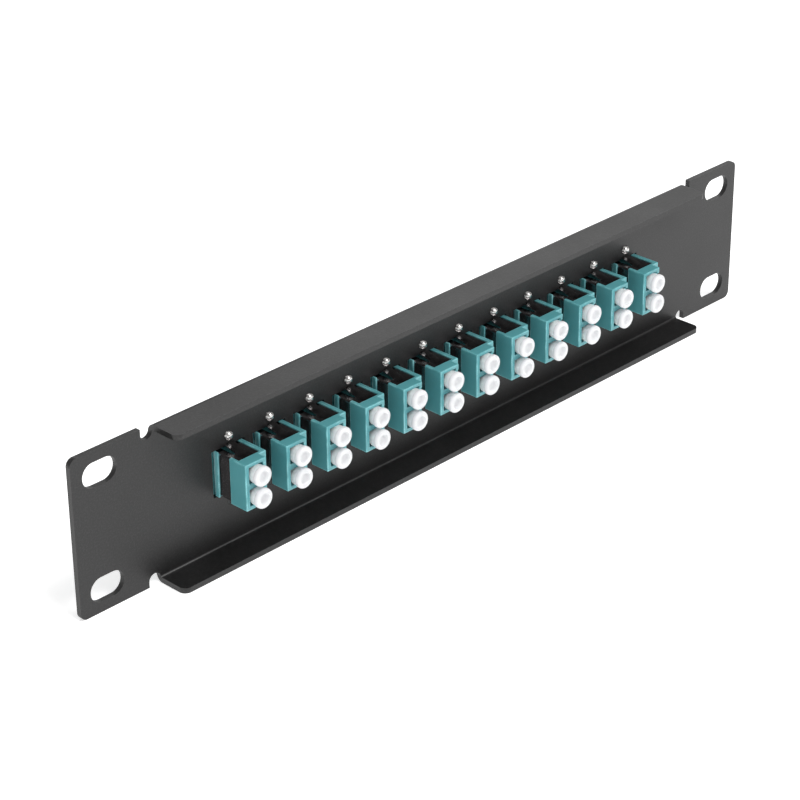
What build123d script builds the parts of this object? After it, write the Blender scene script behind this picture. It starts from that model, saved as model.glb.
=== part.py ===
from build123d import *
import os

# Ten inch rack patch panel, one unit high, loaded with duplex fibre adapters.
# Millimetres. X runs along the panel and Z is up. Y=0 is the face that meets the rack rails.
# The two flanges and one end of every adapter point towards -Y, into the rack.

# Rounds that repeat are drawn with a few flats, at their real size across the flats
screw_round_sides = 6
cap_round_sides = 12

# Panel sheet, folded from one steel blank
panel_width = 254.0
panel_height = 44.45
sheet_thickness = 1.5
panel_corner_radius = 2.0
flange_length = 203.0
flange_reach = 9.0
flange_corner_radius = 2.0
bend_inner_radius = 0.6
notch_width = 3.7
notch_depth = 3.4

# Slots for the rack screws, at the ten inch and one unit spacings
rack_slot_spacing_x = 236.5
rack_slot_spacing_z = 31.75
rack_slot_length = 10.6
rack_slot_width = 6.8

# Row of adapters
adapter_count = 12
adapter_pitch = 13.97
row_height = 0.5
row_offset = -0.4
cutout_clearance = 0.7

# Adapter housing, moulded plastic with the same reach on both sides of its flange
housing_width = 9.3
housing_height = 12.9
housing_reach = 12.6
mount_flange_height = 23.2
mount_flange_thickness = 2.0
mount_flange_corner_cut = 1.2
latch_step_width = 2.4
latch_step_depth = 2.5

# Sockets in each end of a housing, one above the other
port_spacing = 6.25
port_size = 4.7
port_wall = 1.25
port_floor_thickness = 1.6
latch_slot_width = 3.2
latch_slot_reach = 2.4
latch_slot_depth = 8.5

# Ceramic sleeves that line up two plugs, one through the floor between each pair of sockets
sleeve_diameter = 2.2
sleeve_length = 6.8
sleeve_bore = 1.25
sleeve_clearance = 0.05

# Spring clip, folded from thin steel, seated in a groove round the housing
clip_thickness = 0.3
clip_band_width = 3.8
clip_band_setback = 5.9
clip_band_reach = 2.65
clip_bend_radius = 0.55
clip_rim_depth = 0.3
clip_side_gap = 0.05
clip_leg_start = 1.0
clip_leg_length = 7.5
clip_leg_setback = 3.4
clip_panel_gap = 0.35
tongue_slit_width = 0.35
tongue_root_setback = 6.8
tongue_rise = 1.75

# Screws that hold the adapter flanges to the sheet
screw_spacing = 18.5
screw_diameter = 2.2
screw_head_diameter = 3.8
screw_head_height = 1.4
upper_screw_reach = 1.1
lower_screw_reach = -0.5
screw_hole_clearance = 0.05

# Dust caps: a round one in each socket of the rear end, one for both sockets of the front end
plug_clearance = 0.05
plug_length = 7.0
cap_neck_length = 0.9
cap_head_radius = 2.72
cap_head_length = 2.0
cap_head_bevel = 0.45
duplex_cap_margin = 0.6
duplex_cap_corner_cut = 0.8

# Places worked out from the sizes above
half_height = panel_height / 2
flange_inner_z = half_height - sheet_thickness
flange_front_y = -flange_reach
mount_face_y = sheet_thickness
mid_y = mount_face_y + mount_flange_thickness / 2
rear_end_y = mount_face_y - housing_reach
front_end_y = 2 * mid_y - rear_end_y
half_housing_width = housing_width / 2
half_housing_height = housing_height / 2
port_centre_x = -half_housing_width + port_wall + port_size / 2
clip_seat_depth = clip_thickness + clip_rim_depth
clip_inner_bend = clip_bend_radius - clip_thickness / 2
plug_radius = port_size / 2 - plug_clearance


def adapter_places():
    first_x = row_offset - adapter_pitch * (adapter_count - 1) / 2
    return [first_x + adapter_pitch * index for index in range(adapter_count)]


def block(low_x, high_x, low_y, high_y, low_z, high_z):
    centre = ((low_x + high_x) / 2, (low_y + high_y) / 2, (low_z + high_z) / 2)
    return Pos(*centre) * Box(high_x - low_x, high_y - low_y, high_z - low_z)


def through_sheet(outline):
    # A flat outline in X and Z, cut or grown through the thickness of the sheet
    return extrude(Plane.XZ * outline, amount=-sheet_thickness)


def notch_outline(side_x, side_z):
    # Bend relief: a slit with a round bottom between an ear and the end of a flange
    centre_x = side_x * (flange_length + notch_width) / 2
    round_z = half_height - notch_depth + notch_width / 2
    slit_height = half_height - round_z
    slit = Pos(centre_x, side_z * (round_z + slit_height / 2)) * Rectangle(notch_width, slit_height)
    return slit + Pos(centre_x, side_z * round_z) * Circle(notch_width / 2)


def flat_plate():
    # The face of the sheet with its ears, left open where the channel takes over
    outline = RectangleRounded(panel_width, panel_height, panel_corner_radius)
    for side_z in (-1, 1):
        strip = Rectangle(flange_length, 2 * notch_depth)
        outline -= Pos(0, side_z * half_height) * strip
        for side_x in (-1, 1):
            outline -= notch_outline(side_x, side_z)
    return through_sheet(outline)


def channel():
    # Web and both flanges in one folded section, run along X
    outer = Rectangle(flange_reach + sheet_thickness, panel_height)
    outer_bends = outer.vertices().group_by(Axis.X)[-1]
    outer = fillet(outer_bends, bend_inner_radius + sheet_thickness)
    inner = Pos(-sheet_thickness, 0) * Rectangle(flange_reach + sheet_thickness, 2 * flange_inner_z)
    inner_bends = inner.vertices().group_by(Axis.X)[-1]
    inner = fillet(inner_bends, bend_inner_radius)
    centre_y = (sheet_thickness - flange_reach) / 2
    section_plane = Plane(origin=(-flange_length / 2, centre_y, 0), x_dir=(0, 1, 0), z_dir=(1, 0, 0))
    folded = extrude(section_plane * (outer - inner), amount=flange_length)
    tips = [
        edge
        for edge in folded.edges().filter_by(Axis.Z)
        if abs(edge.center().Y - flange_front_y) < 0.01 and edge.length < 2 * sheet_thickness
    ]
    return fillet(tips, flange_corner_radius)


def round_outline(diameter, sides):
    # A round with this many flats, one of them square to the second axis
    outline = RegularPolygon(diameter / 2, sides, major_radius=False)
    return Rot(Z=90 + 180 / sides) * outline


def small_round(diameter):
    return round_outline(diameter, screw_round_sides)


def sheet_openings():
    # Adapter cutouts, screw holes and rack slots
    tools = []
    cutout_width = housing_width + 2 * cutout_clearance
    cutout_height = housing_height + 2 * cutout_clearance
    cutout = Rectangle(cutout_width, cutout_height)
    screw_hole = small_round(screw_diameter + 2 * screw_hole_clearance)
    for place_x in adapter_places():
        tools.append(through_sheet(Pos(place_x, row_height) * cutout))
        for side_z in (-1, 1):
            hole_z = row_height + side_z * screw_spacing / 2
            tools.append(through_sheet(Pos(place_x, hole_z) * screw_hole))
    rack_slot = SlotOverall(rack_slot_length, rack_slot_width)
    for side_x in (-1, 1):
        for side_z in (-1, 1):
            place = Pos(side_x * rack_slot_spacing_x / 2, side_z * rack_slot_spacing_z / 2)
            tools.append(through_sheet(place * rack_slot))
    return tools


def panel_sheet():
    return flat_plate() + channel() - sheet_openings()


def housing_plan():
    # Plan of one half of a housing; the latch side is stepped back from the socket face
    left = -half_housing_width
    right = half_housing_width
    step_x = right - latch_step_width
    step_y = rear_end_y + latch_step_depth
    points = [(left, mid_y), (left, rear_end_y), (step_x, rear_end_y)]
    points += [(step_x, step_y), (right, step_y), (right, mid_y)]
    return make_face(Polyline(*points, close=True))


def port_tools():
    # Everything that is hollow in one end of a housing
    tools = []
    floor_y = mid_y - port_floor_thickness / 2
    left = port_centre_x - port_size / 2
    right = port_centre_x + port_size / 2
    for side_z in (-1, 1):
        centre_z = side_z * port_spacing / 2
        low_z = centre_z - port_size / 2
        tools.append(block(left, right, rear_end_y, floor_y, low_z, low_z + port_size))
        slot_low = centre_z - latch_slot_width / 2
        slot_high = centre_z + latch_slot_width / 2
        slot_end = rear_end_y + latch_slot_depth
        tools.append(block(right, right + latch_slot_reach, rear_end_y, slot_end, slot_low, slot_high))
    return tools


def clip_groove():
    # Seat of the spring clip: a band round the left side, and a wide recess above and below
    left = -half_housing_width
    band_start = rear_end_y + clip_band_setback
    leg_start = rear_end_y + clip_leg_setback
    floor_z = half_housing_height - clip_seat_depth
    core = Rectangle(housing_width, 2 * floor_z)
    core = chamfer(core.vertices().group_by(Axis.X)[0], clip_inner_bend)
    core = Pos(clip_seat_depth, 0) * core
    ring = Pos(left + clip_leg_start / 2, 0) * Rectangle(clip_leg_start, housing_height) - core
    tools = [Pos(0, band_start, 0) * extrude(Plane.XZ * ring, amount=-clip_band_width)]
    for low_z, high_z in ((floor_z, half_housing_height), (-half_housing_height, -floor_z)):
        leg_end = left + clip_leg_length
        tools.append(block(left + clip_leg_start, leg_end, leg_start, mount_face_y, low_z, high_z))
    return tools


def housing_half():
    half = extrude(housing_plan(), amount=half_housing_height, both=True)
    return half - port_tools()


def port_places():
    # The centre line of each socket, upper and lower
    return [Pos(port_centre_x, mid_y, side_z * port_spacing / 2) * Rot(X=90) for side_z in (1, -1)]


def mount_flange():
    outline = Rectangle(housing_width, mount_flange_height)
    outline = chamfer(outline.vertices(), mount_flange_corner_cut)
    hole = small_round(screw_diameter + 2 * screw_hole_clearance)
    for side_z in (-1, 1):
        outline -= Pos(0, side_z * screw_spacing / 2) * hole
    plate = extrude(Plane.XZ * outline, amount=-mount_flange_thickness)
    return Pos(0, mount_face_y, 0) * plate


def adapter_housing():
    rear = housing_half() - clip_groove()
    front = mirror(housing_half(), about=Plane(origin=(0, mid_y, 0), z_dir=(0, 1, 0)))
    seat = extrude(small_round(sleeve_diameter + 2 * sleeve_clearance), amount=sleeve_length, both=True)
    return rear + front + mount_flange() - [place * seat for place in port_places()]


def alignment_sleeve():
    ring = small_round(sleeve_diameter) - small_round(sleeve_bore)
    return extrude(ring, amount=sleeve_length / 2, both=True)


def clip_section():
    # The back of the clip and its two short returns, with a bend at each corner
    left = -half_housing_width + clip_rim_depth
    height = housing_height - 2 * clip_rim_depth
    length = clip_band_reach - clip_rim_depth
    outer = Pos(left + length / 2, 0) * Rectangle(length, height)
    outer = chamfer(outer.vertices().group_by(Axis.X)[0], clip_bend_radius)
    inner = Pos(left + clip_thickness + length / 2, 0) * Rectangle(length, height - 2 * clip_thickness)
    inner = chamfer(inner.vertices().group_by(Axis.X)[0], clip_inner_bend)
    return outer - inner


def clip_leg():
    # Upper leg: a plate in the recess, slit so that a tongue springs up beside its flat left end
    left = -half_housing_width + clip_leg_start + clip_side_gap
    slit = -half_housing_width + clip_band_reach
    right = -half_housing_width + clip_leg_length - clip_side_gap
    top = half_housing_height - clip_rim_depth
    start_y = rear_end_y + clip_leg_setback + clip_side_gap
    root_y = rear_end_y + tongue_root_setback
    end_y = -clip_panel_gap
    plate = block(left, right, start_y, root_y, top - clip_thickness, top)
    plate += block(left, slit, root_y, end_y, top - clip_thickness, top)
    tip_z = top + tongue_rise
    points = [(root_y, top), (end_y, tip_z), (end_y, tip_z - clip_thickness)]
    points.append((root_y, top - clip_thickness))
    tongue_left = slit + tongue_slit_width
    side = Plane(origin=(tongue_left, 0, 0), x_dir=(0, 1, 0), z_dir=(1, 0, 0))
    return plate + extrude(side * make_face(Polyline(*points, close=True)), amount=right - tongue_left)


def adapter_clip():
    band_start = rear_end_y + clip_band_setback + clip_side_gap
    band_width = clip_band_width - 2 * clip_side_gap
    band = Pos(0, band_start, 0) * extrude(Plane.XZ * clip_section(), amount=-band_width)
    leg = clip_leg()
    return band + leg + mirror(leg, about=Plane.XY)


def panel_screw(tip_reach):
    # Pan head on the mounting flange; its tip reaches this far past the rail side of the sheet
    head_y = mount_face_y + mount_flange_thickness
    shank = extrude(small_round(screw_diameter), amount=head_y + tip_reach)
    head = extrude(small_round(screw_head_diameter), amount=screw_head_height)
    screw = shank + Pos(0, 0, head_y + tip_reach) * head
    return Pos(0, -tip_reach, 0) * Rot(X=-90) * screw


def panel_screws():
    # Two to each adapter; only the upper one is long enough to stand proud of the sheet
    upper = Pos(0, 0, screw_spacing / 2) * panel_screw(upper_screw_reach)
    lower = Pos(0, 0, -screw_spacing / 2) * panel_screw(lower_screw_reach)
    return [Pos(place_x, 0, row_height) * screw for place_x in adapter_places() for screw in (upper, lower)]


def round_cap():
    # Dust cap: a plug with a wider head, its socket face at z=0 and its head above
    plug = round_outline(2 * plug_radius, cap_round_sides)
    head = round_outline(2 * cap_head_radius, cap_round_sides)
    cap = Pos(0, 0, -plug_length) * extrude(plug, amount=plug_length + cap_neck_length)
    cap += Pos(0, 0, cap_neck_length) * extrude(head, amount=cap_head_length)
    return chamfer(cap.faces().sort_by(Axis.Z)[-1].edges(), cap_head_bevel)


def duplex_cap():
    # One moulding that closes both sockets of an adapter end: two square plugs under one head
    width = port_size + 2 * duplex_cap_margin
    outline = Rectangle(width, width + port_spacing)
    outline = chamfer(outline.vertices(), duplex_cap_corner_cut)
    cap = extrude(Pos(0, 0, cap_neck_length) * outline, amount=cap_head_length)
    plug = Rectangle(2 * plug_radius, 2 * plug_radius)
    for side in (-1, 1):
        place = Pos(0, side * port_spacing / 2, -plug_length)
        cap += place * extrude(plug, amount=plug_length + cap_neck_length)
    return cap


def rear_caps():
    # The caps of the ends that stand between the flanges, upper and lower
    cap = round_cap()
    named = {}
    for index, place_x in enumerate(adapter_places(), start=1):
        for level, side_z in (("upper", 1), ("lower", -1)):
            place_z = row_height + side_z * port_spacing / 2
            place = Pos(place_x + port_centre_x, rear_end_y, place_z) * Rot(X=90)
            named[f"rear_cap_{level}_{index:02d}"] = place * cap
    return named


def front_caps():
    cap = duplex_cap()
    named = {}
    for index, place_x in enumerate(adapter_places(), start=1):
        place = Pos(place_x + port_centre_x, front_end_y, row_height) * Rot(X=-90)
        named[f"front_cap_{index:02d}"] = place * cap
    return named


def all_nodes():
    housing = adapter_housing()
    clip = adapter_clip()
    sleeve = alignment_sleeve()
    places = [Pos(place_x, 0, row_height) for place_x in adapter_places()]
    sleeve_places = [place * port for place in places for port in port_places()]
    nodes = {"panel_sheet": panel_sheet()}
    for index, place in enumerate(places, start=1):
        nodes[f"adapter_housing_{index:02d}"] = place * housing
    nodes["alignment_sleeves"] = Compound(children=[place * sleeve for place in sleeve_places])
    nodes["adapter_clips"] = Compound(children=[place * clip for place in places])
    nodes["panel_screws"] = Compound(children=panel_screws())
    nodes.update(rear_caps())
    nodes.update(front_caps())
    return nodes


os.makedirs("parts", exist_ok=True)
for name, shape in all_nodes().items():
    export_step(shape, f"parts/{name}.step")
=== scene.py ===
import math

import bmesh
import bpy
from mathutils import Matrix, Vector


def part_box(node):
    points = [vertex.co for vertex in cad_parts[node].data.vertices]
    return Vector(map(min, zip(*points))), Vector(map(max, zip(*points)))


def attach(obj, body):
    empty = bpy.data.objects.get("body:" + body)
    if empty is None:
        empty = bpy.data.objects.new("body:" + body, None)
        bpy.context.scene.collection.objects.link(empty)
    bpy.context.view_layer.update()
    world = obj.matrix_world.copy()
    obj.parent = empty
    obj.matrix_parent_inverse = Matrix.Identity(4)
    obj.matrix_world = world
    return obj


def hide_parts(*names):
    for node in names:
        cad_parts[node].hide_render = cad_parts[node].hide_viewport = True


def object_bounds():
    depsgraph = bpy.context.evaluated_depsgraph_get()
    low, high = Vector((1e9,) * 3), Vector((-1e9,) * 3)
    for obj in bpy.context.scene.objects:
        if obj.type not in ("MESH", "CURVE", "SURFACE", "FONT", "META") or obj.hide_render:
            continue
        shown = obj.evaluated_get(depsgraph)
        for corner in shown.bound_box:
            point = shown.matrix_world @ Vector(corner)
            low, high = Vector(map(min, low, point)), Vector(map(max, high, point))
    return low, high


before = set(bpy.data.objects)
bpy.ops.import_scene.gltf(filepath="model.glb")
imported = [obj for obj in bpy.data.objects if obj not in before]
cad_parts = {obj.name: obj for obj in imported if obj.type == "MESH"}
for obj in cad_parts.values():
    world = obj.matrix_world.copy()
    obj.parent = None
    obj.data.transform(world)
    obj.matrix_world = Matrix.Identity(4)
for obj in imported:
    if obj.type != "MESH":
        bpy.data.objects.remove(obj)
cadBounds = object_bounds()
mm = 0.001
adapterCount = 12
onLine = 0.02 * mm          # a corner this near a CAD line is on it
hairline = 0.001 * mm       # the same for lines that this script draws
weldGap = 0.002 * mm        # corners closer than this become one
flatAngle = 0.5             # faces that meet at less than this many degrees are one flat face
facing = 0.9                # a normal with this much along an axis faces that way
square = 0.99999            # and with this much it is square to the axis
print("frame loaded:", len(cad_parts), "nodes")


# Small tools for working on one piece at a time

def deselectAll():
    if bpy.context.object and bpy.context.object.mode != "OBJECT":
        bpy.ops.object.mode_set(mode="OBJECT")
    bpy.ops.object.select_all(action="DESELECT")


def makeActive(piece):
    deselectAll()
    piece.select_set(True)
    bpy.context.view_layer.objects.active = piece


def startEdit(piece, kind="FACE"):
    makeActive(piece)
    bpy.ops.object.mode_set(mode="EDIT")
    bpy.ops.mesh.select_mode(type=kind)


def endEdit():
    bpy.ops.object.mode_set(mode="OBJECT")


def pickFaces(piece, test):
    # selects the faces whose centre and normal pass the test, in edit mode
    bpy.ops.mesh.select_all(action="DESELECT")
    mesh = bmesh.from_edit_mesh(piece.data)
    for face in mesh.faces:
        face.select_set(bool(test(face.calc_center_median(), face.normal)))
    bmesh.update_edit_mesh(piece.data)


def pickEdges(piece, test):
    # selects the edges whose two ends pass the test, in edit mode
    bpy.ops.mesh.select_all(action="DESELECT")
    mesh = bmesh.from_edit_mesh(piece.data)
    for edge in mesh.edges:
        edge.select_set(bool(test(edge.verts[0].co, edge.verts[1].co)))
    bmesh.update_edit_mesh(piece.data)


def moveCorners(piece, test, shift):
    # moves the corners whose place passes the test
    startEdit(piece, "VERT")
    bpy.ops.mesh.select_all(action="DESELECT")
    mesh = bmesh.from_edit_mesh(piece.data)
    for vert in mesh.verts:
        vert.select_set(bool(test(vert.co)))
    bmesh.update_edit_mesh(piece.data)
    bpy.ops.transform.translate(value=shift)
    endEdit()


def isNear(value, place, gap=onLine):
    return abs(value - place) < gap


def bakePlace(piece):
    # the piece's place goes into its mesh, and its object to the origin
    makeActive(piece)
    bpy.ops.object.transform_apply(location=True, rotation=True, scale=True)


def applyModifier(piece, kind, **settings):
    makeActive(piece)
    modifier = piece.modifiers.new(kind.title(), kind)
    for name, value in settings.items():
        setattr(modifier, name, value)
    bpy.ops.object.modifier_apply(modifier=modifier.name)


def roundEdges(piece, width, segments, sharpAngle=30):
    applyModifier(piece, "BEVEL", width=width, segments=segments, limit_method="ANGLE",
                  angle_limit=math.radians(sharpAngle), use_clamp_overlap=True, miter_outer="MITER_SHARP")


def smoothPiece(piece, angle):
    # smooth where the faces meet gently; the flat faces square to an axis stay flat
    makeActive(piece)
    bpy.ops.object.shade_smooth_by_angle(angle=math.radians(angle))
    startEdit(piece)
    pickFaces(piece, lambda centre, normal: max(abs(part) for part in normal) > square)
    bpy.ops.mesh.faces_shade_flat()
    endEdit()


def facesOutward(piece):
    startEdit(piece)
    bpy.ops.mesh.select_all(action="SELECT")
    bpy.ops.mesh.remove_doubles(threshold=weldGap)
    bpy.ops.mesh.normals_make_consistent(inside=False)
    endEdit()


def copyAt(piece, name, shift):
    # a copy with its own mesh, moved by shift
    twin = piece.copy()
    twin.data = piece.data.copy()
    twin.name = twin.data.name = name
    twin.data.transform(Matrix.Translation(shift))
    bpy.context.scene.collection.objects.link(twin)
    return twin


def joinPieces(pieces, name):
    makeActive(pieces[0])
    for piece in pieces:
        piece.select_set(True)
    bpy.ops.object.join()
    pieces[0].name = pieces[0].data.name = name
    return pieces[0]


def moulded(node, name):
    # a free copy of a CAD node, its loose triangles joined into whole faces
    piece = bpy.data.objects.new(name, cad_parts[node].data.copy())
    bpy.context.scene.collection.objects.link(piece)
    piece.data.materials.clear()
    startEdit(piece)
    bpy.ops.mesh.select_all(action="SELECT")
    bpy.ops.mesh.remove_doubles(threshold=hairline)
    bpy.ops.mesh.customdata_custom_splitnormals_clear()
    bpy.ops.mesh.dissolve_limited(angle_limit=math.radians(flatAngle))
    bpy.ops.mesh.normals_make_consistent(inside=False)
    endEdit()
    return piece


def arcSteps(centreY, centreR, radius, fromAngle, toAngle, count):
    # (y, r) steps round a quarter arc, angles in degrees from the -Y direction towards +r
    steps = []
    for index in range(count + 1):
        angle = math.radians(fromAngle + (toAngle - fromAngle) * index / count)
        steps.append((centreY - radius * math.cos(angle), centreR + radius * math.sin(angle)))
    return steps


def turnedPiece(name, centreX, centreZ, steps, segments):
    # a disc extruded and scaled step by step along Y, as on a lathe; steps are (y, radius)
    lastY, lastR = steps[0]
    deselectAll()
    bpy.ops.mesh.primitive_circle_add(vertices=segments, radius=lastR, fill_type="NGON",
                                      location=(centreX, lastY, centreZ), rotation=(math.pi / 2, 0, 0))
    piece = bpy.context.object
    piece.name = piece.data.name = name
    bakePlace(piece)
    startEdit(piece)
    bpy.ops.mesh.select_all(action="SELECT")
    for y, r in steps[1:]:
        bpy.ops.mesh.extrude_region_move(TRANSFORM_OT_translate={"value": (0, y - lastY, 0)})
        grow = r / lastR
        bpy.ops.transform.resize(value=(grow, 1, grow), center_override=(centreX, y, centreZ))
        lastY, lastR = y, r
    endEdit()
    facesOutward(piece)
    return piece


def cutBox(piece, place, size, turn=0.0):
    # takes a box out of the piece, turned about Y
    deselectAll()
    bpy.ops.mesh.primitive_cube_add(size=1, location=place, rotation=(0, turn, 0), scale=size)
    cutter = bpy.context.object
    bakePlace(cutter)
    applyModifier(piece, "BOOLEAN", operation="DIFFERENCE", object=cutter, solver="EXACT")
    bpy.data.objects.remove(cutter)


def settle(piece, body, material, nodes):
    # the piece rides on its body, stands for its nodes and takes its finish
    piece.data.materials.clear()
    piece.data.materials.append(material)
    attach(piece, body)
    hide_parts(*nodes)


# Shader groups that several finishes share

mottleRange = (0.3, 0.7)        # the part of the noise that the slow mottle and the roughness use
speckRange = (0.45, 0.75)       # and the part that the specks use
wearHighlightRange = (0.998, 0.93)       # how well two normals agree where the lighter edges (wear and a painted edge highlight) start and where they are full
chipRange = (0.35, 0.65)        # the part of the noise that breaks the lighter edges up


def newGroup(name, inputs, outputs):
    group = bpy.data.node_groups.new(name, "ShaderNodeTree")
    for label, value in inputs:
        socket = group.interface.new_socket(name=label, in_out="INPUT", socket_type="NodeSocketFloat")
        socket.default_value = value
    for label in outputs:
        group.interface.new_socket(name=label, in_out="OUTPUT", socket_type="NodeSocketFloat")
    return group


def addNode(tree, kind, place=(0, 0), **settings):
    node = tree.nodes.new(kind)
    node.location = place
    for name, value in settings.items():
        setattr(node, name, value)
    return node


def remap(tree, place, value, low, high, fromLow=0.0, fromHigh=1.0):
    node = addNode(tree, "ShaderNodeMapRange", place)
    node.inputs["From Min"].default_value = fromLow
    node.inputs["From Max"].default_value = fromHigh
    node.inputs["To Min"].default_value = low
    node.inputs["To Max"].default_value = high
    tree.links.new(value, node.inputs["Value"])
    return node.outputs[0]


def noiseOfSize(tree, place, size, **settings):
    # noise on the piece's own coordinates; size is a socket in millimetres
    x, y = place
    coords = addNode(tree, "ShaderNodeTexCoord", (x - 500, y))
    scale = addNode(tree, "ShaderNodeMath", (x - 250, y), operation="DIVIDE")
    scale.inputs[0].default_value = 1 / mm      # object units are metres
    tree.links.new(size, scale.inputs[1])
    noise = addNode(tree, "ShaderNodeTexNoise", place)
    for name, value in settings.items():
        noise.inputs[name].default_value = value
    tree.links.new(coords.outputs["Object"], noise.inputs["Vector"])
    tree.links.new(scale.outputs[0], noise.inputs["Scale"])
    return noise.outputs["Fac"]


def makeGrainGroup():
    # fine pebbled grain with a slower mottle over it
    tree = newGroup("fineGrain", [("Grain Size", 0.4), ("Mottle Size", 12.0)], ["Grain", "Mottle"])
    ends = addNode(tree, "NodeGroupInput", (-900, 0))
    out = addNode(tree, "NodeGroupOutput", (500, 0))
    for row, label in enumerate(("Grain", "Mottle")):
        size = ends.outputs[label + " Size"]
        noise = noiseOfSize(tree, (-200, -250 * row), size, Detail=3.0, Roughness=0.6)
        tree.links.new(noise, out.inputs[label])
    return tree


def makeEdgeGroup():
    # lighter edges, partly wear and partly a painted edge highlight: where a rounded normal leaves the true
    # one, broken up by noise
    tree = newGroup("wearAndEdgeHighlight", [("Radius", 0.3), ("Breakup", 1.5)], ["Mask"])
    ends = addNode(tree, "NodeGroupInput", (-1100, 0))
    out = addNode(tree, "NodeGroupOutput", (700, 0))
    toMetres = addNode(tree, "ShaderNodeMath", (-900, 150), operation="MULTIPLY")
    toMetres.inputs[1].default_value = mm
    tree.links.new(ends.outputs["Radius"], toMetres.inputs[0])
    bevel = addNode(tree, "ShaderNodeBevel", (-700, 150), samples=4)
    tree.links.new(toMetres.outputs[0], bevel.inputs["Radius"])
    geometry = addNode(tree, "ShaderNodeNewGeometry", (-700, -50))
    dot = addNode(tree, "ShaderNodeVectorMath", (-450, 100), operation="DOT_PRODUCT")
    tree.links.new(bevel.outputs[0], dot.inputs[0])
    tree.links.new(geometry.outputs["Normal"], dot.inputs[1])
    spread = remap(tree, (-250, 100), dot.outputs["Value"], 0.0, 1.0, *wearHighlightRange)
    noise = noiseOfSize(tree, (-450, -250), ends.outputs["Breakup"])
    chips = remap(tree, (-250, -250), noise, 0.0, 1.0, *chipRange)
    both = addNode(tree, "ShaderNodeMath", (0, 0), operation="MULTIPLY", use_clamp=True)
    tree.links.new(spread, both.inputs[0])
    tree.links.new(chips, both.inputs[1])
    tree.links.new(both.outputs[0], out.inputs["Mask"])
    return tree


grainGroup = makeGrainGroup()
edgeGroup = makeEdgeGroup()


def placeGroup(tree, group, place, **values):
    node = addNode(tree, "ShaderNodeGroup", place, node_tree=group)
    for name, value in values.items():
        node.inputs[name].default_value = value
    return node


def mixColors(tree, place, factor, colorA, colorB):
    # colours may be sockets or fixed values; the factor is a socket
    node = addNode(tree, "ShaderNodeMix", place, data_type="RGBA", blend_type="MIX")
    tree.links.new(factor, node.inputs[0])
    for socket, value in ((node.inputs[6], colorA), (node.inputs[7], colorB)):
        if isinstance(value, bpy.types.NodeSocket):
            tree.links.new(value, socket)
        else:
            socket.default_value = (*value, 1.0)
    return node.outputs[2]


def makeFinish(name, look):
    # one finish: base colour with mottle and lighter edges (wear and a painted edge highlight), roughness and
    # bump from the grain;
    # an optional fade paints another colour behind a place along Y, used as painted light
    material = bpy.data.materials.new(name)
    material.use_nodes = True
    tree = material.node_tree
    shader = tree.nodes["Principled BSDF"]
    shader.inputs["Metallic"].default_value = look["metallic"]
    shader.inputs["IOR"].default_value = look["ior"]
    shader.inputs["Specular IOR Level"].default_value = look["specular"]
    shader.inputs["Subsurface Weight"].default_value = look.get("subsurface", 0.0)
    shader.inputs["Subsurface Scale"].default_value = look.get("subsurfaceDepth", 0.5) * mm
    shader.inputs["Subsurface Radius"].default_value = look.get("subsurfaceRadius", (1.0, 1.0, 1.0))
    grain = placeGroup(tree, grainGroup, (-1100, 0), **{"Grain Size": look["grainSize"],
                                                        "Mottle Size": look["mottleSize"]})
    edges = placeGroup(tree, edgeGroup, (-1100, -350), **{"Radius": look["wearHighlightRadius"],
                                                          "Breakup": look["wearHighlightBreakup"]})
    mottle = remap(tree, (-850, 250), grain.outputs["Mottle"], 0.0, 1.0, *mottleRange)
    speck = remap(tree, (-850, 50), grain.outputs["Grain"], 0.0, look["speckle"], *speckRange)
    base = mixColors(tree, (-600, 300), mottle, look["color"], look["mottleColor"])
    # painted light: a lighter colour behind a place along Y
    if "paintedLightFade" in look:
        startY, endY, paintedLightColor = look["paintedLightFade"]
        coords = addNode(tree, "ShaderNodeTexCoord", (-1100, 600))
        split = addNode(tree, "ShaderNodeSeparateXYZ", (-900, 600))
        tree.links.new(coords.outputs["Object"], split.inputs[0])
        along = remap(tree, (-750, 600), split.outputs["Y"], 0.0, 1.0, startY * mm, endY * mm)
        base = mixColors(tree, (-500, 500), along, base, paintedLightColor)
    speckled = mixColors(tree, (-400, 200), speck, base, look["speckColor"])
    wearHighlight = remap(tree, (-600, -150), edges.outputs["Mask"], 0.0, look["wearHighlight"])
    wornAndHighlit = mixColors(tree, (-200, 150), wearHighlight, speckled, look["wearHighlightColor"])
    tree.links.new(wornAndHighlit, shader.inputs["Base Color"])
    roughness = remap(tree, (-400, -50), grain.outputs["Mottle"], *look["roughness"], *mottleRange)
    tree.links.new(roughness, shader.inputs["Roughness"])
    bump = addNode(tree, "ShaderNodeBump", (-200, -250))
    bump.inputs["Strength"].default_value = look["bump"]
    bump.inputs["Distance"].default_value = look["bumpDepth"] * mm
    tree.links.new(grain.outputs["Grain"], bump.inputs["Height"])
    tree.links.new(bump.outputs[0], shader.inputs["Normal"])
    return material


# The finishes; sizes and depths in them are millimetres; their lighter edges are partly wear and partly a
# painted edge highlight

powderCoat = makeFinish("powderCoat", {
    "color": (0.0045, 0.0044, 0.0045), "mottleColor": (0.0065, 0.0063, 0.0064),
    "speckColor": (0.022, 0.021, 0.021), "speckle": 0.8, "metallic": 0.0, "ior": 1.5, "specular": 0.5,
    "roughness": (0.4, 0.47), "grainSize": 0.5, "mottleSize": 30.0, "bump": 0.6, "bumpDepth": 0.05,
    "wearHighlightRadius": 0.35, "wearHighlightBreakup": 2.0, "wearHighlight": 0.45, "wearHighlightColor": (0.05, 0.05, 0.05),
})

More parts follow.
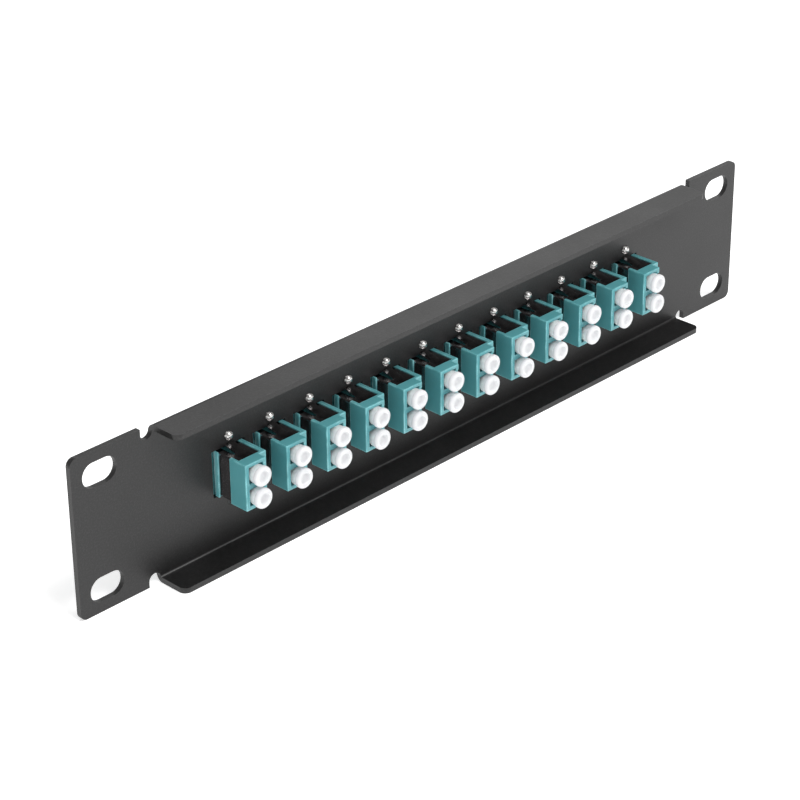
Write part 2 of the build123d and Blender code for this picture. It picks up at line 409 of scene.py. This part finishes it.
aquaPlastic = makeFinish("aquaPlastic", {
    "color": (0.09, 0.318, 0.343), "mottleColor": (0.10, 0.338, 0.363),
    "speckColor": (0.12, 0.37, 0.395), "speckle": 0.4, "metallic": 0.0, "ior": 1.5, "specular": 0.5,
    "roughness": (0.28, 0.36), "grainSize": 0.25, "mottleSize": 6.0, "bump": 0.12, "bumpDepth": 0.02,
    "subsurface": 0.15, "subsurfaceDepth": 0.8, "subsurfaceRadius": (0.3, 1.0, 1.0),
    # the light edge colour here is mostly a painted highlight along the housing edges
    "wearHighlightRadius": 0.6, "wearHighlightBreakup": 3.0, "wearHighlight": 0.85, "wearHighlightColor": (0.34, 0.74, 0.77),
})

springSteel = makeFinish("springSteel", {
    "color": (0.30, 0.285, 0.29), "mottleColor": (0.35, 0.335, 0.34),
    "speckColor": (0.5, 0.48, 0.48), "speckle": 0.25, "metallic": 1.0, "ior": 1.5, "specular": 0.5,
    "roughness": (0.14, 0.22), "grainSize": 0.3, "mottleSize": 3.0, "bump": 0.05, "bumpDepth": 0.01,
    # the pinkish light edge colour is a painted highlight on the clip's bends
    "wearHighlightRadius": 0.1, "wearHighlightBreakup": 0.8, "wearHighlight": 0.5, "wearHighlightColor": (0.75, 0.7, 0.7),
})

screwPlate = makeFinish("screwPlate", {
    "color": (0.62, 0.61, 0.6), "mottleColor": (0.7, 0.69, 0.67),
    "speckColor": (0.45, 0.44, 0.43), "speckle": 0.4, "metallic": 1.0, "ior": 1.5, "specular": 0.5,
    "roughness": (0.18, 0.3), "grainSize": 0.2, "mottleSize": 1.5, "bump": 0.1, "bumpDepth": 0.02,
    "wearHighlightRadius": 0.08, "wearHighlightBreakup": 0.5, "wearHighlight": 0.4, "wearHighlightColor": (0.9, 0.89, 0.87),
})

capPlastic = makeFinish("capPlastic", {
    "color": (0.63, 0.625, 0.64), "mottleColor": (0.65, 0.645, 0.66),
    "speckColor": (0.67, 0.665, 0.68), "speckle": 0.3, "metallic": 0.0, "ior": 1.46, "specular": 0.4,
    "roughness": (0.38, 0.5), "grainSize": 0.2, "mottleSize": 3.0, "bump": 0.1, "bumpDepth": 0.02,
    "subsurface": 1.0, "subsurfaceDepth": 6.0, "subsurfaceRadius": (1.0, 0.94, 0.98),
    # the light edge colour is a painted highlight on the rim of each cap head
    "wearHighlightRadius": 0.25, "wearHighlightBreakup": 1.0, "wearHighlight": 0.3, "wearHighlightColor": (0.76, 0.75, 0.77),
    # the neck behind the head is painted lighter and slightly lilac: painted light on a neck that stays in
    # shade under the head
    "paintedLightFade": (-12.9, -12.5, (0.97, 0.93, 0.98)),
})

sleeveCeramic = makeFinish("sleeveCeramic", {
    "color": (0.86, 0.84, 0.8), "mottleColor": (0.9, 0.88, 0.85),
    "speckColor": (0.93, 0.92, 0.9), "speckle": 0.3, "metallic": 0.0, "ior": 2.1, "specular": 0.5,
    "roughness": (0.1, 0.18), "grainSize": 0.15, "mottleSize": 1.5, "bump": 0.04, "bumpDepth": 0.01,
    "wearHighlightRadius": 0.06, "wearHighlightBreakup": 0.5, "wearHighlight": 0.3, "wearHighlightColor": (0.95, 0.94, 0.92),
})
print("finishes made")


# Where the adapters and their ports are, read from the frame

firstLow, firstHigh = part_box("adapter_housing_01")
secondLow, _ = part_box("adapter_housing_02")
capLow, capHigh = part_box("rear_cap_upper_01")
lowerCapLow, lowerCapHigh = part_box("rear_cap_lower_01")
screwLow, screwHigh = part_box("panel_screws")
pitch = secondLow.x - firstLow.x
rowZ = (firstLow.z + firstHigh.z) / 2
socketY = firstLow.y                        # the socket face of the ends that stand between the flanges
bodySide = firstLow.x
adapterX = (firstLow.x + firstHigh.x) / 2
portX = (capLow.x + capHigh.x) / 2
upperZ = (capLow.z + capHigh.z) / 2
portDrop = (lowerCapLow.z + lowerCapHigh.z) / 2 - upperZ


def alongRow(first, stem, drop=None):
    # the piece and its copies along the row; with a drop, twelve copies that far below it
    row = [first] if drop is None else []
    for index in range(len(row), adapterCount):
        row.append(copyAt(first, f"{stem}{index + 1:02d}", Vector((pitch * index, 0, drop or 0.0))))
    return row


# The folded sheet: the CAD form with eased edges, its cutouts closer above and below the housings and wider
# on their left

sheetLook = {
    "edge": 0.16 * mm, "segments": 2, "smooth": 30,
    "cutoutGap": 0.7 * mm,          # from a housing's left side to the CAD cutout's left edge
    "cutoutHalf": 7.15 * mm,        # from the middle of a housing to the CAD cutout's lower or upper edge
    "lowerEdge": 0.6 * mm, "upperEdge": 0.5 * mm, "leftEdge": 0.4 * mm,     # how far they move in or out
}


def onCutoutLeft(place):
    # the cutouts repeat along the row, so the place is taken within one pitch
    offset = (place.x - bodySide + sheetLook["cutoutGap"]) % pitch
    inRow = abs(place.z - rowZ) < sheetLook["cutoutHalf"] + onLine
    return inRow and min(offset, pitch - offset) < onLine


panelSheet = moulded("panel_sheet", "panelSheet")
moveCorners(panelSheet, onCutoutLeft, (-sheetLook["leftEdge"], 0, 0))
moveCorners(panelSheet, lambda place: isNear(place.z, rowZ - sheetLook["cutoutHalf"]),
            (0, 0, sheetLook["lowerEdge"]))
moveCorners(panelSheet, lambda place: isNear(place.z, rowZ + sheetLook["cutoutHalf"]),
            (0, 0, -sheetLook["upperEdge"]))
roundEdges(panelSheet, sheetLook["edge"], sheetLook["segments"])
applyModifier(panelSheet, "TRIANGULATE", ngon_method="BEAUTY", quad_method="BEAUTY")
smoothPiece(panelSheet, sheetLook["smooth"])
settle(panelSheet, "panel", powderCoat, ["panel_sheet"])
print("sheet dressed")


# The housings: the CAD form with eased edges, more room for the clip, and an undercut in the cutout

housingLook = {
    "edge": 0.2 * mm, "segments": 3, "smooth": 40, "halfHeight": 6.45 * mm,
    "outerShare": 0.85,                                     # past this share of it is the top or the bottom
    "bandEnd": 9.7 * mm, "bandLonger": 0.45 * mm,           # the clip's groove, from the socket face
    "recessRight": 7.5 * mm, "recessWider": 0.6 * mm,       # the clip's recess, from the left side
    "recessLeft": 1.0 * mm, "recessReach": 0.55 * mm,       # beside the sheet it runs almost to the left side
    "undercut": 0.8 * mm,                                   # how deep the left side is cut back
    "undercutStart": 0.6 * mm, "undercutEnd": 1.5 * mm,     # where along Y, inside the cutout
    "cutterHeight": 2.1,                                    # in half heights, so it clears the body
}


def onTopOrBottom(place):
    return abs(place.z - rowZ) > housingLook["outerShare"] * housingLook["halfHeight"]


def onRecessRight(place):
    return isNear(place.x, bodySide + housingLook["recessRight"]) and onTopOrBottom(place)


def onRecessLeft(place):
    besideSheet = socketY + housingLook["bandEnd"] < place.y < housingLook["undercutEnd"] + onLine
    return isNear(place.x, bodySide + housingLook["recessLeft"]) and besideSheet and onTopOrBottom(place)


firstHousing = moulded("adapter_housing_01", "adapterHousing01")
moveCorners(firstHousing, lambda place: isNear(place.y, socketY + housingLook["bandEnd"]),
            (0, housingLook["bandLonger"], 0))
moveCorners(firstHousing, onRecessRight, (housingLook["recessWider"], 0, 0))
moveCorners(firstHousing, onRecessLeft, (-housingLook["recessReach"], 0, 0))
undercutY = (housingLook["undercutStart"] + housingLook["undercutEnd"]) / 2
undercutSize = (2 * housingLook["undercut"], housingLook["undercutEnd"] - housingLook["undercutStart"],
                housingLook["cutterHeight"] * housingLook["halfHeight"])
cutBox(firstHousing, (bodySide, undercutY, rowZ), undercutSize)
roundEdges(firstHousing, housingLook["edge"], housingLook["segments"])
smoothPiece(firstHousing, housingLook["smooth"])
housings = alongRow(firstHousing, "adapterHousing")
for index, housing in enumerate(housings):
    settle(housing, "panel", aquaPlastic, [f"adapter_housing_{index + 1:02d}"])
print("housings dressed:", len(housings))


# The spring clips: a cut blank with its tongue lifted, folded round the left side of each housing

clipLook = {
    "thickness": 0.3 * mm, "bendSteps": 7, "edge": 0.05 * mm, "segments": 2, "sharp": 40, "smooth": 35,
    "mirrorWeld": 0.01 * mm,                                   # joins the two halves in the middle
    "rise": 1.75 * mm,                                         # how far the CAD clip's tongue stands up
    "columns": (0.5, 0.9, 1.05, 2.65, 3.0, 6.1, 6.25, 8.05),   # lines across it in mm, from the left side
    "rows": (3.45, 5.95, 6.8, 8.4, 10.1, 10.9, 12.4),          # lines along it in mm, from the socket face
    "bendColumn": 1, "bandRow": 4,                             # where the bend starts and the band ends
    # the first and last metal cell of each column; the fourth and sixth are slits beside the tongue
    "metal": ((4, 5), (1, 5), (0, 5), (0, 1), (0, 4), (0, 1), (0, 5)),
    # how far the tongue's left and right line are lifted at each row, in mm
    "tongueLift": {4: (0.0, 0.15, 0.3, 0.72, 1.08, 1.22, 1.22), 5: (0.0, 0.0, 0.0, 0.55, 1.0, 1.2, 1.2)},
}


def clipBlankKept(column, row):
    first, last = clipLook["metal"][column]
    return first <= row <= last


def buildClip(name):
    clipLow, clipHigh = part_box("adapter_clips")
    rowCentre = (clipLow.z + clipHigh.z) / 2
    left = clipLow.x
    top = clipHigh.z - clipLook["rise"] - rowCentre
    columns = [bodySide + value * mm for value in clipLook["columns"]]
    rows = [socketY + value * mm for value in clipLook["rows"]]
    deselectAll()
    bpy.ops.mesh.primitive_grid_add(x_subdivisions=len(columns) - 1, y_subdivisions=len(rows) - 1, size=1)
    clip = bpy.context.object
    clip.name = clip.data.name = name
    startEdit(clip, "VERT")
    mesh = bmesh.from_edit_mesh(clip.data)
    for vert in mesh.verts:
        column = round((vert.co.x + 0.5) * (len(columns) - 1))
        row = round((vert.co.y + 0.5) * (len(rows) - 1))
        lift = clipLook["tongueLift"][column][row] if column in clipLook["tongueLift"] else 0.0
        vert.co = (columns[column], rows[row], top + lift * mm)
    spare = []
    for face in mesh.faces:
        centre = face.calc_center_median()
        column = sum(centre.x > value for value in columns) - 1
        row = sum(centre.y > value for value in rows) - 1
        if not clipBlankKept(column, row):
            spare.append(face)
    bmesh.ops.delete(mesh, geom=spare, context="FACES")
    bmesh.update_edit_mesh(clip.data)
    bpy.ops.mesh.select_mode(type="EDGE")
    bendX = columns[clipLook["bendColumn"]]
    bandEnd = rows[clipLook["bandRow"]] + hairline
    bend = bendX - left
    pickEdges(clip, lambda a, b: isNear(a.x, bendX, hairline) and isNear(b.x, bendX, hairline)
              and max(a.y, b.y) < bandEnd)
    bpy.ops.mesh.spin(steps=clipLook["bendSteps"], angle=math.pi / 2, center=(bendX, 0, top - bend),
                      axis=(0, 1, 0))
    pickEdges(clip, lambda a, b: isNear(a.x, left, hairline) and isNear(b.x, left, hairline))
    bpy.ops.mesh.extrude_region_move(TRANSFORM_OT_translate={"value": (0, 0, -(top - bend))})
    endEdit()
    applyModifier(clip, "MIRROR", use_axis=(False, False, True), merge_threshold=clipLook["mirrorWeld"])
    facesOutward(clip)
    clip.data.transform(Matrix.Translation((0, 0, rowCentre)))
    return clip


firstClip = buildClip("springClip01")
print("clip blank:", len(firstClip.data.polygons), "faces")
applyModifier(firstClip, "SOLIDIFY", thickness=clipLook["thickness"], offset=-1.0, use_even_offset=True)
facesOutward(firstClip)
roundEdges(firstClip, clipLook["edge"], clipLook["segments"], clipLook["sharp"])
smoothPiece(firstClip, clipLook["smooth"])
clips = alongRow(firstClip, "springClip")
for clip in clips:
    settle(clip, "panel", springSteel, ["adapter_clips"])
print("clips folded:", len(clips))


# The screws: pan heads with a cross recess behind; the upper ones show threaded, domed tips in front

screwLook = {
    "spacing": 18.5 * mm, "segments": 28, "smooth": 35,
    "tip": ((0.0, 0.25), (0.04 * mm, 0.6), (0.16 * mm, 0.88)),      # behind the tip, and share of the root
    "radius": 1.1 * mm, "root": 0.93 * mm, "dome": 0.35 * mm, "threaded": 1.2 * mm,
    "pitch": 0.4 * mm, "flank": 0.12 * mm, "crest": 0.08 * mm,      # one turn of the thread
    "headRadius": 1.9 * mm, "headHeight": 1.4 * mm, "headEdge": 0.1 * mm,
    "crown": 0.7 * mm, "crownFlat": 0.45, "crownSteps": 6,          # the flat is a share of the head's radius
    "recess": (0.5 * mm, 2.2 * mm, 0.8 * mm),                       # width, length and depth
}


def buildScrew(name, centreZ, tipY):
    radius, root, head = screwLook["radius"], screwLook["root"], screwLook["headRadius"]
    flank, crest, edge = screwLook["flank"], screwLook["crest"], screwLook["headEdge"]
    crown, flat = screwLook["crown"], screwLook["crownFlat"]
    endY = screwHigh.y
    seatY = endY - screwLook["headHeight"]
    steps = [(tipY + rise, root * share) for rise, share in screwLook["tip"]]
    y = tipY + screwLook["dome"]
    while y < tipY + screwLook["threaded"]:
        steps += [(y, root), (y + flank, radius), (y + flank + crest, radius), (y + 2 * flank + crest, root)]
        y += screwLook["pitch"]
    rim = endY - crown
    steps += [(y, root), (seatY, root), (seatY, head - edge), (seatY + edge, head), (rim, head)]
    for index in range(1, screwLook["crownSteps"]):
        angle = math.pi / 2 * index / screwLook["crownSteps"]
        steps.append((rim + crown * math.sin(angle), head * (flat + (1 - flat) * math.cos(angle))))
    steps.append((endY, head * flat))
    screw = turnedPiece(name, adapterX, centreZ, steps, screwLook["segments"])
    width, length, depth = screwLook["recess"]
    for turn in (0, math.pi / 2):
        cutBox(screw, (adapterX, endY, centreZ), (length, 2 * depth, width), turn)
    smoothPiece(screw, screwLook["smooth"])
    return screw


# The lower screws end inside the sheet, each behind a short end that fills its hole under the coating

lowerEndLook = {
    "tip": 0.02 * mm, "length": 0.9 * mm, "radius": 1.16 * mm,
    "steps": ((0.0, 0.88), (0.02 * mm, 0.95), (0.1 * mm, 1.0), (0.9 * mm, 1.0)),    # and share of the radius
}
lowerEndY = lowerEndLook["tip"] + lowerEndLook["length"]
lowerScrewZ = rowZ - screwLook["spacing"] / 2
upperScrew = buildScrew("upperScrew", rowZ + screwLook["spacing"] / 2, screwLow.y)
lowerScrew = buildScrew("lowerScrew", lowerScrewZ, lowerEndY)
endSteps = [(lowerEndLook["tip"] + rise, lowerEndLook["radius"] * share)
            for rise, share in lowerEndLook["steps"]]
lowerEnd = turnedPiece("lowerEnd", adapterX, lowerScrewZ, endSteps, screwLook["segments"])
smoothPiece(lowerEnd, screwLook["smooth"])
screws = alongRow(upperScrew, "upperScrew") + alongRow(lowerScrew, "lowerScrew")
screwCount = len(screws)
panelScrews = joinPieces(screws, "panelScrews")
settle(panelScrews, "panel", screwPlate, ["panel_screws"])
lowerScrewEnds = joinPieces(alongRow(lowerEnd, "lowerEnd"), "lowerScrewEnds")
settle(lowerScrewEnds, "panel", powderCoat, ["panel_screws"])
print("screws turned:", screwCount)


# The ceramic sleeves between each pair of sockets

sleeveLook = {
    "outer": 1.1 * mm, "bore": 0.625 * mm, "lead": 0.15 * mm, "segments": 24, "smooth": 35,
    "web": 0.2 * mm,        # what closes the bore in the middle
}


def sleeveSteps():
    # from the web out to one end, along the outside, and back to the web from the other end
    sleeveLow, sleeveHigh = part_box("alignment_sleeves")
    startY, endY = sleeveLow.y, sleeveHigh.y
    outer, bore, lead = sleeveLook["outer"], sleeveLook["bore"], sleeveLook["lead"]
    middleY = (startY + endY) / 2
    return [(middleY, bore), (startY + lead, bore), (startY, bore + lead), (startY, outer - lead),
            (startY + lead, outer), (endY - lead, outer), (endY, outer - lead), (endY, bore + lead),
            (endY - lead, bore), (middleY + sleeveLook["web"], bore)]


firstSleeve = turnedPiece("sleeve", portX, upperZ, sleeveSteps(), sleeveLook["segments"])
sleeves = alongRow(firstSleeve, "upperSleeve") + alongRow(firstSleeve, "lowerSleeve", portDrop)
sleeveCount = len(sleeves)
alignmentSleeves = joinPieces(sleeves, "alignmentSleeves")
smoothPiece(alignmentSleeves, sleeveLook["smooth"])
settle(alignmentSleeves, "panel", sleeveCeramic, ["alignment_sleeves"])
print("sleeves made:", sleeveCount)


# The round dust caps: hollow plug, short neck and a head with a rounded rim and a shallow dish

capLook = {
    "segments": 44, "smooth": 50,
    "plug": 2.28 * mm, "wall": 0.65 * mm, "lead": 0.4 * mm,
    "hollowFloor": 0.6 * mm, "plugStart": 0.15 * mm,                # inside the socket face
    "neck": 2.48 * mm, "neckStart": 0.1 * mm,                       # outside it
    "flare": 0.08 * mm, "flareLength": 0.12 * mm,                   # where the neck meets the head
    "head": 2.72 * mm, "headLength": 1.35 * mm,
    "rim": 0.6 * mm, "rimSteps": 7, "underRim": 0.22 * mm, "underSteps": 4,
    "dish": 1.5 * mm, "dishLip": 0.12 * mm, "dishDepth": 0.75 * mm,
    "dishFlat": 0.35, "dishEase": 0.02 * mm, "dishSteps": 5,        # the flat is a share of the dish's radius
}


def capSteps(faceY, headY, plugY):
    # from the hollow of the plug, round its end, up the neck and over the head into the dish
    plug, wall, lead, head = capLook["plug"], capLook["wall"], capLook["lead"], capLook["head"]
    neck, rim, under = capLook["neck"], capLook["rim"], capLook["underRim"]
    dish, flat = capLook["dish"], capLook["dishFlat"]
    underY = headY + capLook["headLength"]
    steps = [(faceY + capLook["hollowFloor"], plug - wall), (plugY, plug - wall), (plugY, plug - lead),
             (plugY - lead, plug), (faceY + capLook["plugStart"], plug), (faceY - capLook["neckStart"], neck),
             (underY + capLook["flareLength"], neck), (underY, neck + capLook["flare"])]
    steps += arcSteps(underY - under, head - under, under, 180, 90, capLook["underSteps"])
    steps += arcSteps(headY + rim, head - rim, rim, 90, 0, capLook["rimSteps"])
    steps.append((headY, dish + capLook["dishLip"]))
    for index in range(1, capLook["dishSteps"] + 1):
        angle = math.pi / 2 * index / capLook["dishSteps"]
        steps.append((headY + capLook["dishDepth"] * math.sin(angle),
                      dish * (flat + (1 - flat) * math.cos(angle)) + capLook["dishEase"]))
    return steps


firstCap = turnedPiece("rearCapUpper01", portX, upperZ, capSteps(socketY, capLow.y, capHigh.y),
                       capLook["segments"])
smoothPiece(firstCap, capLook["smooth"])
capCount = 0
for level, drop in (("Upper", 0.0), ("Lower", portDrop)):
    for index in range(adapterCount):
        node = f"rear_cap_{level.lower()}_{index + 1:02d}"
        cap = firstCap
        if capCount:
            cap = copyAt(firstCap, f"rearCap{level}{index + 1:02d}", Vector((pitch * index, 0, drop)))
        settle(cap, node, capPlastic, [node])
        capCount += 1
print("round caps turned:", capCount)


# The duplex caps of the far side: the CAD form with eased edges, hollowed plugs and a shallow grip

duplexLook = {
    "edge": 0.35 * mm, "segments": 3, "smooth": 40,
    "plugWall": 0.75 * mm, "plugDepth": 5.5 * mm,
    "grip": 0.35 * mm, "gripInset": 0.8 * mm,
}


def buildDuplexCap(name):
    cap = moulded("front_cap_01", name)
    low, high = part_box("front_cap_01")
    startEdit(cap)
    pickFaces(cap, lambda centre, normal: normal.y < -facing and isNear(centre.y, low.y))
    bpy.ops.mesh.inset(thickness=duplexLook["plugWall"], use_individual=True)
    bpy.ops.mesh.extrude_region_move(TRANSFORM_OT_translate={"value": (0, duplexLook["plugDepth"], 0)})
    pickFaces(cap, lambda centre, normal: normal.y > facing and isNear(centre.y, high.y))
    bpy.ops.mesh.inset(thickness=duplexLook["gripInset"])
    bpy.ops.mesh.extrude_region_move(TRANSFORM_OT_translate={"value": (0, -duplexLook["grip"], 0)})
    endEdit()
    facesOutward(cap)
    roundEdges(cap, duplexLook["edge"], duplexLook["segments"])
    smoothPiece(cap, duplexLook["smooth"])
    return cap


firstDuplex = buildDuplexCap("frontCap01")
for index in range(adapterCount):
    node = f"front_cap_{index + 1:02d}"
    cap = firstDuplex
    if index:
        cap = copyAt(firstDuplex, f"frontCap{index + 1:02d}", Vector((pitch * index, 0, 0)))
    settle(cap, node, capPlastic, [node])
print("duplex caps made:", adapterCount)


# Floor, light and camera

floorLook = {"size": 4.0, "gap": 0.02 * mm, "color": (0.96, 0.96, 0.96), "roughness": 0.9, "glow": 0.45}
deselectAll()
bpy.ops.mesh.primitive_plane_add(size=floorLook["size"], location=(0, 0, cadBounds[0][2] - floorLook["gap"]))
floor = bpy.context.object
floor.name = "floor"
floorPaint = bpy.data.materials.new("floorPaint")
floorPaint.use_nodes = True
floorShader = floorPaint.node_tree.nodes["Principled BSDF"]
floorShader.inputs["Base Color"].default_value = (*floorLook["color"], 1)
floorShader.inputs["Roughness"].default_value = floorLook["roughness"]
floorShader.inputs["Emission Color"].default_value = (1, 1, 1, 1)
floorShader.inputs["Emission Strength"].default_value = floorLook["glow"]
floor.data.materials.append(floorPaint)

worldStrength = 0.5
world = bpy.data.worlds.new("studio")
bpy.context.scene.world = world
world.use_nodes = True
background = world.node_tree.nodes["Background"]
background.inputs["Color"].default_value = (1, 1, 1, 1)
background.inputs["Strength"].default_value = worldStrength

lampLooks = {
    "keyLight": {"place": (0.1, -0.75, 1.05), "size": 0.8, "power": 13.5},
    "backLight": {"place": (0.9, 0.75, 0.75), "size": 0.7, "power": 1.9},
    "sideLight": {"place": (-1.0, -0.12, 0.2), "size": 0.4, "power": 1.6},
}
for name, look in lampLooks.items():
    deselectAll()
    bpy.ops.object.light_add(type="AREA", location=look["place"])
    lamp = bpy.context.object
    lamp.name = name
    lamp.data.size = look["size"]
    lamp.data.energy = look["power"]
    toOrigin = -Vector(look["place"])
    lamp.rotation_euler = toOrigin.to_track_quat("-Z", "Y").to_euler()

cameraLook = {
    "lens": 115.17, "sensor": 36.0, "nearest": 0.01,
    "place": (-446.91 * mm, -423.25 * mm, 312.25 * mm),
    "forward": (0.63205, 0.62104, -0.46348),
    "right": (0.69757, -0.71647, -0.00875),
}
deselectAll()
bpy.ops.object.camera_add(location=cameraLook["place"])
camera = bpy.context.object
lookBack = -Vector(cameraLook["forward"]).normalized()
lookRight = Vector(cameraLook["right"]).normalized()
lookUp = lookBack.cross(lookRight).normalized()
camera.rotation_euler = Matrix((lookRight, lookUp, lookBack)).transposed().to_euler()
camera.data.lens = cameraLook["lens"]
camera.data.sensor_width = cameraLook["sensor"]
camera.data.clip_start = cameraLook["nearest"]
bpy.context.scene.camera = camera
bpy.context.scene.view_settings.view_transform = "Standard"
